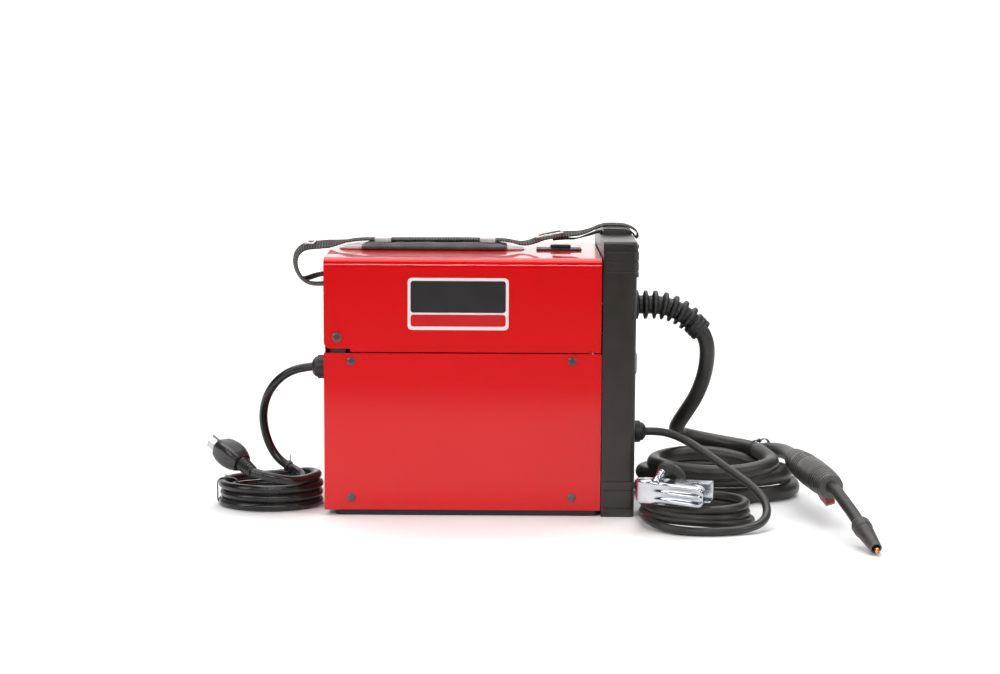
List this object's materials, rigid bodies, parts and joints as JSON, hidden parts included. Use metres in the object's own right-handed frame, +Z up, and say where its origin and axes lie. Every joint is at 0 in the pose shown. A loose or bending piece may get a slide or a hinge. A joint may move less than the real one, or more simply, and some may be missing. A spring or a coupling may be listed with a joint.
{
  "type": "wire-feed welding machine",
  "caption": "Portable wire-feed welding machine with hinged wire-bay lid, carry strap, gun on a flexible cable, work clamp and coiled mains lead.",
  "frame": {"origin": "middle of the case's footprint, on the underside of the base tray", "axes": "+Z up, +X out of the machine's front, where the gun and the work lead leave"},
  "size_m": [0.6948, 0.392, 0.3035],
  "materials": {
    "black_plastic": "satin moulded",
    "bezel_plastic": "satin moulded charcoal",
    "panel_plastic": "matt",
    "red_paint": "gloss red",
    "zinc_steel": "zinc plated",
    "black_screws": "black oxide",
    "laminated_steel": "varnished laminations",
    "copper_wire": "enamelled copper wire",
    "aluminium": "extruded",
    "circuit_board": "solder mask",
    "red_plastic": "gloss",
    "grey_plastic": "light grey",
    "brass": "turned",
    "spool_plastic": "moulded",
    "wire_steel": "drawn wire",
    "black_rubber": "moulded rubber",
    "gun_cable_rubber": "satin cable jacket",
    "cable_rubber": "satin cable jacket",
    "mains_rubber": "glossy cord jacket",
    "gun_plastic": "moulded",
    "copper": "copper",
    "chrome": "bright plated",
    "webbing": "woven webbing",
    "pad_fabric": "padded fabric",
    "clear_plastic": "translucent"
  },
  "bodies": {
    "case": {"base_tray": "black_plastic", "front_bezel": "bezel_plastic", "control_panel": "panel_plastic", "side_panel_right": "red_paint", "side_panel_left": "red_paint", "rear_panel": "red_paint", "divider_deck": "zinc_steel", "hinge_brackets": "black_plastic", "case_screws": "black_screws", "transformer_core": "laminated_steel", "transformer_windings": "copper_wire", "rectifier_heatsink": "aluminium", "control_board": "circuit_board", "fan_shroud": "black_plastic", "power_switch_body": "black_plastic", "control_pots": "zinc_steel", "feed_plate": "zinc_steel", "feed_motor": "zinc_steel", "wire_guides": "brass", "spool_post": "black_plastic", "spool_nut": "black_plastic", "gun_bellows": "black_rubber", "gun_cable": "gun_cable_rubber", "gun_cable_coil": "gun_cable_rubber", "gun_handle_left": "gun_plastic", "gun_handle_right": "gun_plastic", "gun_neck": "black_rubber", "gun_nozzle": "gun_plastic", "contact_tip": "copper", "work_gland": "black_plastic", "work_cable": "cable_rubber", "work_cable_coil": "cable_rubber", "clamp_near_arm": "chrome", "clamp_pivot": "chrome", "clamp_boot": "black_rubber", "mains_gland": "black_plastic", "mains_cord": "mains_rubber", "mains_cord_coil": "mains_rubber", "mains_plug": "mains_rubber", "plug_blades": "zinc_steel", "strap_front_loop": "webbing"},
    "lid": {"lid": "red_paint", "latch_plate": "black_plastic", "strap_webbing": "webbing", "strap_pad": "pad_fabric", "strap_buckles": "clear_plastic"},
    "latch": {"latch_slider": "black_plastic"},
    "rocker": {"power_rocker": "red_plastic"},
    "speed_dial": {"speed_knob": "grey_plastic"},
    "voltage_dial": {"voltage_knob": "grey_plastic"},
    "spool": {"wire_spool": "spool_plastic", "welding_wire": "wire_steel"},
    "drive_wheel": {"drive_roll": "zinc_steel"},
    "idle_wheel": {"idle_roll": "zinc_steel"},
    "pressure_lever": {"pressure_arm": "black_plastic"},
    "tension_dial": {"tension_knob": "black_plastic"},
    "fan": {"fan_blades": "black_plastic"},
    "trigger": {"gun_trigger": "red_plastic"},
    "clamp_jaw": {"clamp_far_arm": "chrome"}
  },
  "joints": [
    {"name": "lid_hinge", "type": "hinge", "parent": "case", "child": "lid", "pos_m": [-0.153, 0, 0.1914], "axis": [0, -1, 0], "range_deg": [0, 70]},
    {"name": "latch_slide", "type": "slide", "parent": "lid", "child": "latch", "axis": [-1, 0, 0], "range_m": [0, 0.005], "stiffness_N_per_m": 200},
    {"name": "power_rocker_tilt", "type": "hinge", "parent": "case", "child": "rocker", "pos_m": [0.1597, 0.038, 0.11], "axis": [0, -1, 0], "range_deg": [0, 20]},
    {"name": "wire_speed_turn", "type": "hinge", "parent": "case", "child": "speed_dial", "pos_m": [0.17, 0.015, 0.148], "axis": [-1, 0, 0], "range_deg": [0, 280]},
    {"name": "voltage_turn", "type": "hinge", "parent": "case", "child": "voltage_dial", "pos_m": [0.17, 0.062, 0.148], "axis": [-1, 0, 0], "range_deg": [0, 90]},
    {"name": "spool_spin", "type": "hinge", "parent": "case", "child": "spool", "pos_m": [-0.062, -0.02, 0.212], "axis": [0, 1, 0], "continuous": true},
    {"name": "drive_roll_spin", "type": "hinge", "parent": "case", "child": "drive_wheel", "pos_m": [0.09, -0.02, 0.2021], "axis": [0, 1, 0], "continuous": true},
    {"name": "idle_roll_spin", "type": "hinge", "parent": "pressure_lever", "child": "idle_wheel", "pos_m": [0.09, -0.02, 0.2289], "axis": [0, 1, 0], "continuous": true},
    {"name": "pressure_arm_lift", "type": "hinge", "parent": "case", "child": "pressure_lever", "pos_m": [0.062, -0.031, 0.232], "axis": [0, -1, 0], "range_deg": [0, 25]},
    {"name": "tension_knob_turn", "type": "hinge", "parent": "pressure_lever", "child": "tension_dial", "pos_m": [0.104, -0.033, 0.24], "axis": [0, 0, 1], "continuous": true},
    {"name": "fan_spin", "type": "hinge", "parent": "case", "child": "fan", "pos_m": [-0.15, 0.02, 0.075], "axis": [1, 0, 0], "continuous": true},
    {"name": "trigger_pull", "type": "hinge", "parent": "case", "child": "trigger", "pos_m": [0.36023, -0.09873, 0.03312], "axis": [0.9571, 0.121, 0.2632], "range_deg": [-8, 0], "stiffness_Nm_per_rad": 0.3},
    {"name": "clamp_squeeze", "type": "hinge", "parent": "case", "child": "clamp_jaw", "pos_m": [0.1861, -0.17, 0.0422], "axis": [0, 0, -1], "range_deg": [0, 18], "stiffness_Nm_per_rad": 1.5}
  ],
  "couplings": [
    {"joint": "idle_roll_spin", "follows": "drive_roll_spin", "ratio": -1.3636}
  ]
}
